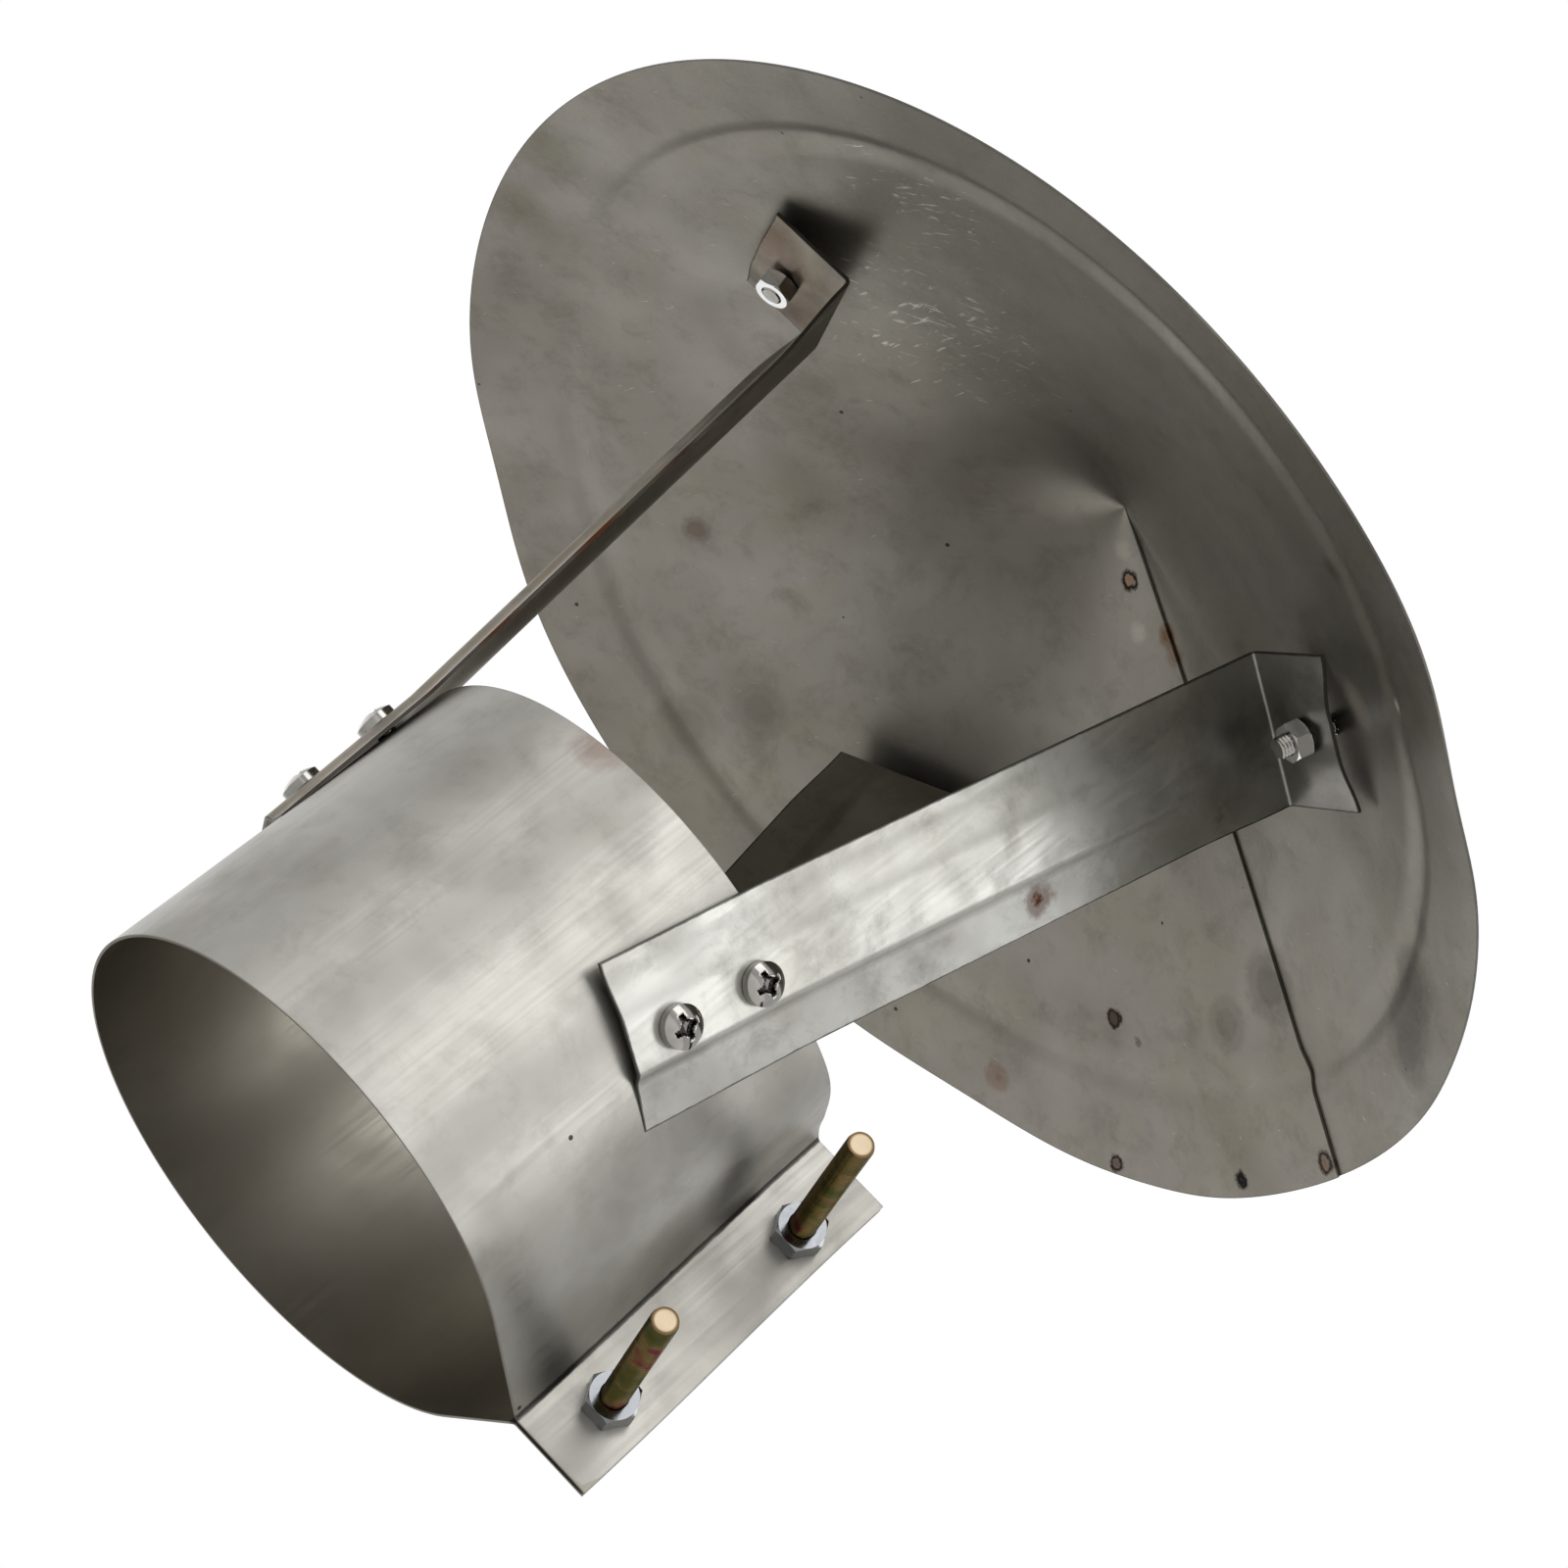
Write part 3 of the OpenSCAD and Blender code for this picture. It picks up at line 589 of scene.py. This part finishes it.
def makeLegs():
    # a section with one pressed rib, carried up the strut and round the fold into the tab
    g, at = leg, legLines()
    rho = g["foldRound"]
    turn = np.radians(np.linspace(0, 90, g["foldSteps"] + 1))
    centre = at["fold"] - rho * at["along"] + rho * at["tabOut"]
    stations, faces, ribs = [], [], []
    for t in np.linspace(0, 1, g["footSteps"] + 1)[:-1]:
        stations.append(at["footEnd"] * (1 - t) + at["knee"] * t)
        faces.append(at["footOut"])
        ribs.append(1.0)
    kneeEnd = at["fold"] - rho * at["along"]
    for t in np.linspace(0, 1, g["strutSteps"]):
        p = at["knee"] * (1 - t) + kneeEnd * t
        stations.append(p)
        faces.append(at["tabOut"])
        ribs.append(float(smooth(np.linalg.norm(p - kneeEnd) / g["ribEnd"])))
    for a in turn[1:]:
        face = math.cos(a) * at["tabOut"] - math.sin(a) * at["along"]
        stations.append(centre - rho * face)
        faces.append(face)
        ribs.append(0.0)
    tabStart = at["fold"] + rho * at["tabOut"]
    for t in np.linspace(0, 1, g["tabSteps"] + 1)[1:]:
        stations.append(tabStart * (1 - t) + (at["fold"] + g["tab"] * at["tabOut"]) * t)
        faces.append(-at["along"])
        ribs.append(float(smooth(t * (g["tab"] - rho) / g["tabRibEnd"])))
    stations, faces, ribs = np.array(stations), np.array(faces), np.array(ribs)
    s = np.linspace(-g["width"] / 2, g["width"] / 2, 71)
    # strut: a long roll on one side and a crease on the other, whose flange is drawn in
    rib = g["ribHigh"] * np.where(
        s < 0, smooth((g["crest"] + g["slopeMinus"] + s) / g["slopeMinus"]),
        smooth((g["crest"] + g["slopePlus"] - s) / g["slopePlus"]))
    beyond = np.maximum(s - g["crest"] - g["slopePlus"], 0)
    rib = rib - math.tan(math.radians(g["drawnIn"])) * beyond
    # tab: the same height, flattened out to both edges
    flat = g["ribHigh"] * smooth((g["width"] / 2 - np.abs(s)) / (g["width"] / 2 - g["crest"]))
    tabRow = np.arange(len(stations)) >= len(stations) - g["tabSteps"]
    high = ribs[:, None] * np.where(tabRow[:, None], flat[None], rib[None])
    spine = stations[:, None] + s[None, :, None] * at["across"]
    inner = spine + high[..., None] * faces[:, None]
    outer = inner + g["thick"] * faces[:, None]
    # the map gives the distances from the strip's ends and from its sides, on both faces
    run = np.concatenate([[0], np.cumsum(np.linalg.norm(np.diff(stations, axis=0), axis=1))])
    ends = np.minimum(run, run[-1] - run)[:, None]
    uv = np.stack(np.broadcast_arrays(ends, g["width"] / 2 - np.abs(s)), -1).reshape(-1, 2) * mm
    uv = np.tile(uv, (2, 1))
    for i, name in enumerate(g["names"]):
        material = rolledStainless("millStainlessLeg" + name.title(), legLooks[name])
        grids = [spin(p.reshape(-1, 3), legAzimuth(i)).reshape(p.shape) * mm
                 for p in (inner, outer)]
        makePiece("leg" + name.title() + "Sheet", sheetShell(*grids), ["leg_" + name], material,
                  uv)


# the legs' inks paint shade, with some dirt, along the strips' ends and sides
stripLook = {**sheetLook, "edgeLine": 0.22, "inks": (0.75, 0.75), "waver": 0.1,
             "smudgeMm": 12, "smudgeShare": 0.3, "dentMm": 26, "dentDeep": 0.07,
             "dentLong": (1, 1, 6)}
# the left leg is rusty at its edges and tab; the front leg is painted lighter, and a broad painted
# shade lies over its tab
legLooks = {
    "left": {
        **stripLook, "stainSpan": (0.57, 0.67), "stainMm": 20, "dark": "#6d655b",
        "light": "#867f75", "smudgeShare": 0.6, "dirtShare": 0.6,
        "marks": [
            ((-59.7, -37.2, 132.1), 6, 0, 0.9, "#7a4522"),
            ((-57.7, -31, 102.8), 5, 0, 0.85, "#74482c"),
            ((-61.3, -42.3, 156.5), 4, 0, 0.6, "#604636"),
            ((-56.5, -27, 84), 3, 0, 0.6, "#604636"),
            ((-75, -28, 214), 10, 0, 0.5, "#5d4a3f"), ((-86, -47, 213), 8, 0, 0.55, "#5b4437")]},
    "front": {
        # its tones are painted lighter than the other legs', as painted light for the light it
        # catches
        **stripLook, "light": "#b9b9b5", "dark": "#a2a19c",
        "marks": [
            ((60.9, -37.7, 144.6), 3.4, 0, 1.0, "#4a2a17"),
            ((62.6, -37.2, 148.6), 2.0, 0, 0.8, "#6b452c"),
            ((72.7, -34.5, 193.2), 2.0, 0, 0.8, "#4d3325"),
            # a broad dark mark of painted shade over the tab, where the cap shades it
            ((66, -42, 214), 36, 0, 0.6, "#4a463f")]},
    "rear": {**stripLook, "dark": "#757169", "light": "#86837d"},
}

# Pan-head screws, in millimetres: a low dome with a cross recess over a rolled thread
panScrew = {
    "headWide": 9, "headHigh": 3.4, "edgeShare": 0.56, "recess": 2.9, "recessDeep": 1.4,
    "starPower": 0.75, "slotWide": 0.62, "recessFrom": 1.06, "recessSlope": 0.34,
    "thread": 5, "pitch": 0.8, "threadDeep": 0.42, "legLength": 10,
    "capLength": {"left": 13.6, "front": 16, "rear": 15.4},
}


def threadRows(radius, pitch, deep, length, columns, perTurn=7):
    # a helical groove: the radius dips as a rounded triangle wave of height and angle together
    rows = int(length / pitch * perTurn) + 2
    z = -np.linspace(0, length, rows)
    angle = np.arange(columns) * 2 * np.pi / columns
    phase = (-z[:, None] / pitch + angle[None] / (2 * np.pi)) % 1
    groove = 1 - np.abs(2 * phase - 1)
    tip = smooth((length + z) / pitch * 1.2)
    fade = np.minimum(smooth(-z / pitch), tip)[:, None]
    r = radius - deep * (1 - groove) * fade - deep * (1 - tip)[:, None]
    return r, z


def rodGrid(r, z, columns):
    # round rows of the given radii and heights
    angle = np.arange(columns) * 2 * np.pi / columns
    r, z = np.broadcast_arrays(r, np.asarray(z)[:, None] if np.ndim(z) == 1 else z)
    return np.stack([r * np.cos(angle), r * np.sin(angle), z], -1)


def toAxis(grid, origin, axis):
    # local Z becomes the axis, and X and Y any two square to it
    axis = axis / np.linalg.norm(axis)
    x = np.cross([0, 1.0, 0] if abs(axis[1]) < 0.9 else [1.0, 0, 0], axis)
    x /= np.linalg.norm(x)
    return origin + grid @ np.array([x, np.cross(axis, x), axis])


def screwSkin(length, columns=72):
    # the head is a ball's cap over a short edge, less its recess; the map gives depth and height
    c = panScrew
    edge = c["headHigh"] * c["edgeShare"]
    dome = c["headHigh"] - edge
    ball = (c["headWide"] ** 2 / 4 + dome ** 2) / (2 * dome)
    r = np.linspace(0, c["headWide"] / 2, 30)[:, None] * np.ones(columns)
    angle = np.arange(columns) * 2 * np.pi / columns
    u, v = np.abs(r * np.cos(angle)), np.abs(r * np.sin(angle))
    # cross recess: a four-pointed star joined to two slots that narrow to their ends
    power = c["starPower"]
    star = (u ** power + v ** power) / c["recess"] ** power
    slots = np.maximum(np.minimum(u, v) / c["slotWide"], np.maximum(u, v) / c["recess"])
    sunk = c["recessDeep"] * smooth((c["recessFrom"] - np.minimum(star, slots)) / c["recessSlope"])
    z = c["headHigh"] - ball + np.sqrt(ball ** 2 - r ** 2) - sunk
    top = np.stack([r * np.cos(angle), r * np.sin(angle), z], -1)
    # the edge: straight down from the dome, with a small bevel under it
    skirtR = np.array([0.5, 0.5, 0.46])[:, None] * c["headWide"] * np.ones(columns)
    skirt = rodGrid(skirtR, np.array([edge * 0.85, 0.15, 0.0]), columns)
    threadR, threadZ = threadRows(c["thread"] / 2, c["pitch"], c["threadDeep"], length, columns)
    rod = rodGrid(threadR, threadZ, columns)
    end = rodGrid(np.zeros((1, columns)), np.array([-float(length)]), columns)
    grid = np.concatenate([top, skirt, rod, end])
    depth = np.concatenate([sunk, np.zeros((len(grid) - len(sunk), columns))])
    return grid, turnedValues(depth, grid[..., 2])


def makeScrews():
    # two screws through each leg into the collar, and one down through the cap into its tab
    g, at = leg, legLines()
    for i, name in enumerate(g["names"]):
        for side, level in ((-1, "low"), (1, "high")):
            seat = (at["foot"] + (g["ribHigh"] + g["thick"] + g["seatGap"]) * at["footOut"]
                    + side * g["screwStep"] / 2 * at["footAlong"])
            grid, uv = screwSkin(panScrew["legLength"])
            grid = toAxis(grid, seat, at["footOut"])
            grid = spin(grid.reshape(-1, 3), legAzimuth(i)).reshape(grid.shape) * mm
            makePiece(f"panScrew{name.title()}{level.title()}", turnedSkin(grid),
                      [f"leg_{name}_screw_{level}"], chrome, uv, sharp=40)
        seat = at["tabPoint"] + at["headSeat"] * at["pin"]
        grid, uv = screwSkin(panScrew["capLength"][name])
        grid = toAxis(grid, seat, at["pin"])
        grid = spin(grid.reshape(-1, 3), legAzimuth(i)).reshape(grid.shape) * mm
        makePiece(f"capScrew{name.title()}", turnedSkin(grid), [f"cap_screw_{name}"], chrome,
                  uv, sharp=40)


# Clamp bolts, in millimetres: a hexagon head and a full-length thread, along Y
clampBolt = {
    "x": 74.0338, "seatY": 1.37, "levels": {"low": 16, "high": 70}, "flats": 10, "headHigh": 4,
    "thread": 5.8, "pitch": 1.0, "threadDeep": 0.26, "length": 50, "crownSlope": 30,
}


def makeClampBolts():
    # the hexagon's radius is half its flats over the cosine of the angle from the nearest flat;
    # the map gives radius and height, which pick out the sheared end
    c, columns = clampBolt, 96
    angle = np.arange(columns) * 2 * np.pi / columns
    hexR = c["flats"] / 2 / np.cos((angle % (np.pi / 3)) - np.pi / 6)
    z = np.linspace(0, 1, 9)[:, None] * c["headHigh"]
    cone = c["flats"] / 2 + (c["headHigh"] - z) / math.tan(math.radians(c["crownSlope"]))
    side = np.minimum(hexR[None], cone)[::-1]
    head = rodGrid(side, z[::-1, 0], columns)
    crown = rodGrid(np.zeros((1, columns)), np.array([c["headHigh"]]), columns)
    threadR, threadZ = threadRows(c["thread"] / 2, c["pitch"], c["threadDeep"], c["length"],
                                  columns)
    rod = rodGrid(threadR, threadZ, columns)
    end = rodGrid(np.zeros((1, columns)), np.array([-float(c["length"])]), columns)
    grid = np.concatenate([crown, head, rod, end])
    uv = turnedValues(np.hypot(grid[..., 0], grid[..., 1]), grid[..., 2])
    for level, z0 in c["levels"].items():
        placed = toAxis(grid, np.array([c["x"], c["seatY"], z0]), np.array([0, 1.0, 0])) * mm
        makePiece("clampBolt" + level.title(), turnedSkin(placed), ["clamp_bolt_" + level],
                  yellowZinc, uv, sharp=40, body="clamp_bolt_" + level)


print("materials")
chrome = brightPlating("nickelChromePlatedSteel", {
    "dark": "#75736f", "light": "#a19f9b", "rough": 0.08, "hazeMm": 2.5, "pitDeep": 0.01,
    "recessShadeMm": (0.15, 1.0)})
zinc = brightPlating("clearZincPlatedSteel", {
    "dark": "#5a5d60", "light": "#808285", "rough": 0.1, "hazeMm": 1.8, "pitDeep": 0.01,
    "recessShadeMm": None})
# the same clear zinc, painted much brighter as painted light, for the nuts under the cap
capNutZincPaintedBright = brightPlating("clearZincPlatedSteelPaintedBright", {
    "dark": "#c2c4c6", "light": "#e2e3e4", "rough": 0.1, "hazeMm": 1.8, "pitDeep": 0.006,
    "recessShadeMm": None})
yellowZinc = yellowChromate({
    "gold": "#433c1e", "straw": "#57492a", "olive": "#333615", "wine": "#521f22",
    "tip": "#90836f", "tipFrom": -49.9, "ring": (1.9, 2.35), "edgeRingShade": "#4d3c26", "patchMm": 9})

print("cap")
makeCap()
print("collar")
makeCollar()
print("legs")
makeLegs()
print("screws")
makeScrews()
print("clamp bolts")
makeClampBolts()

# the nuts keep their solid meshes and get a plating: those under the cap get a much brighter copy,
# as painted light
for name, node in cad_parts.items():
    if "nut" in name:
        node.data.materials.clear()
        node.data.materials.append(capNutZincPaintedBright if "cap" in name else zinc)

print("camera, floor and light")
# the camera stands below and in front, as in the photograph, which looks up under the cap
view = {
    "lensMm": 82.17, "place": (133.89, -651.43, -245.5),
    "right": (0.694204, -0.258355, 0.671814), "down": (0.698561, 0.466781, -0.542336),
    "forward": (-0.173475, 0.845795, 0.504517),
}
lens = bpy.data.cameras.new("camera")
lens.lens, lens.sensor_width = view["lensMm"], 36
lens.clip_start, lens.clip_end = 0.01, 50
camera = bpy.data.objects.new("camera", lens)
bpy.context.scene.collection.objects.link(camera)
sides = np.array([view["right"], [-v for v in view["down"]], [-v for v in view["forward"]]])
pose = np.eye(4)
pose[:3, :3] = sides.T
pose[:3, 3] = np.array(view["place"]) * mm
camera.matrix_world = Matrix(pose.tolist())
bpy.context.scene.camera = camera

# the floor's half width and the radii over which it fades to white, in metres, and how much
# it and the world light the metal
studio = {"half": 9, "fade": (0.3, 1.3), "glow": 0.45, "ambient": 0.45}
floorMesh = bpy.data.meshes.new("floor")
half = studio["half"]
floorMesh.from_pydata([(-half, -half, 0), (half, -half, 0), (half, half, 0), (-half, half, 0)],
                      [], [(0, 1, 2, 3)])
floor = bpy.data.objects.new("floor", floorMesh)
# a hair below the collar's rim, so that the two surfaces don't share a plane
floor.location.z = -0.3 * mm
bpy.context.scene.collection.objects.link(floor)
# matt pale board; a camera below it sees through it, as the photograph looks up from there
board = bpy.data.materials.new("paleBoard")
board.use_nodes = True
tree = board.node_tree
boardShader = tree.nodes["Principled BSDF"]
boardShader.inputs["Base Color"].default_value = linearColour("#ecebe8")
boardShader.inputs["Roughness"].default_value = 0.9
ray = addNode(tree, "ShaderNodeLightPath")
geometry = addNode(tree, "ShaderNodeNewGeometry")
below = addNode(tree, "ShaderNodeMath", operation="MULTIPLY",
                links=[(0, ray.outputs["Is Camera Ray"]), (1, geometry.outputs["Backfacing"])])
clear = addNode(tree, "ShaderNodeBsdfTransparent")
glow = addNode(tree, "ShaderNodeMath", [(0, ray.outputs["Is Glossy Ray"])], operation="MULTIPLY",
               at={1: studio["glow"]})
paper = addNode(tree, "ShaderNodeEmission", [("Strength", glow.outputs[0])])
lit = addNode(tree, "ShaderNodeAddShader", [(0, boardShader.outputs[0]), (1, paper.outputs[0])])
# further out the camera sees plain white, so that the board has no horizon
spot = addNode(tree, "ShaderNodeTexCoord")
out = addNode(tree, "ShaderNodeVectorMath", [(0, spot.outputs["Object"])], operation="LENGTH")
far = addNode(tree, "ShaderNodeMapRange", [(0, out.outputs["Value"])],
              interpolation_type="SMOOTHSTEP", at={1: studio["fade"][0], 2: studio["fade"][1]})
farSeen = addNode(tree, "ShaderNodeMath", operation="MULTIPLY",
                  links=[(0, ray.outputs["Is Camera Ray"]), (1, far.outputs[0])])
white = addNode(tree, "ShaderNodeEmission")
faded = addNode(tree, "ShaderNodeMixShader",
                [(0, farSeen.outputs[0]), (1, lit.outputs[0]), (2, white.outputs[0])])
blend = addNode(tree, "ShaderNodeMixShader",
                [(0, below.outputs[0]), (1, faded.outputs[0]), (2, clear.outputs[0])])
tree.links.new(blend.outputs[0], tree.nodes["Material Output"].inputs["Surface"])
floorMesh.materials.append(board)

# plain white where it is seen or mirrored, and a dimmer even light otherwise
world = bpy.data.worlds.new("studio")
bpy.context.scene.world = world
world.use_nodes = True
tree = world.node_tree
background = tree.nodes["Background"]
ray = addNode(tree, "ShaderNodeLightPath")
seen = addNode(tree, "ShaderNodeMath", operation="MAXIMUM",
               links=[(0, ray.outputs["Is Camera Ray"]), (1, ray.outputs["Is Glossy Ray"])])
seenToo = addNode(tree, "ShaderNodeMath", operation="MAXIMUM",
                  links=[(0, seen.outputs[0]), (1, ray.outputs["Is Transmission Ray"])])
level = addNode(tree, "ShaderNodeMapRange", [(0, seenToo.outputs[0])],
                at={3: studio["ambient"], 4: 1.0})
tree.links.new(level.outputs[0], background.inputs["Strength"])
background.inputs["Color"].default_value = (1, 1, 1, 1)

# soft boxes in a ring before the collar, and one overhead for the cap's outside
lamps = {
    # name: azimuth and elevation in degrees, distance, width and height in metres, glow
    "boxFront": (-80, 29, 1.6, 1.3, 0.7, 2.6),
    "boxLeft": (-134, 27, 1.6, 0.8, 0.7, 1.2),
    "boxRight": (-27, 30, 1.6, 0.5, 0.5, 4.0),
    "boxBack": (150, 12, 1.4, 1.2, 0.4, 0.6),
    "boxTop": (40, 70, 1.8, 1.2, 1.2, 3.5),
}
for name, (azimuth, elevation, away, wide, high, glow) in lamps.items():
    light = bpy.data.lights.new(name, "AREA")
    light.shape = "RECTANGLE"
    light.size, light.size_y = wide, high
    light.energy = glow * math.pi * wide * high
    lamp = bpy.data.objects.new(name, light)
    bpy.context.scene.collection.objects.link(lamp)
    a, e = math.radians(azimuth), math.radians(elevation)
    back = np.array([math.cos(a) * math.cos(e), math.sin(a) * math.cos(e), math.sin(e)])
    right = np.array([-math.sin(a), math.cos(a), 0])
    stand = np.eye(4)
    stand[:3, :3] = np.array([right, np.cross(back, right), back]).T
    stand[:3, 3] = back * away + np.array([0, 0, 0.06])
    lamp.matrix_world = Matrix(stand.tolist())

bpy.context.scene.view_settings.view_transform = "Standard"
print("done")
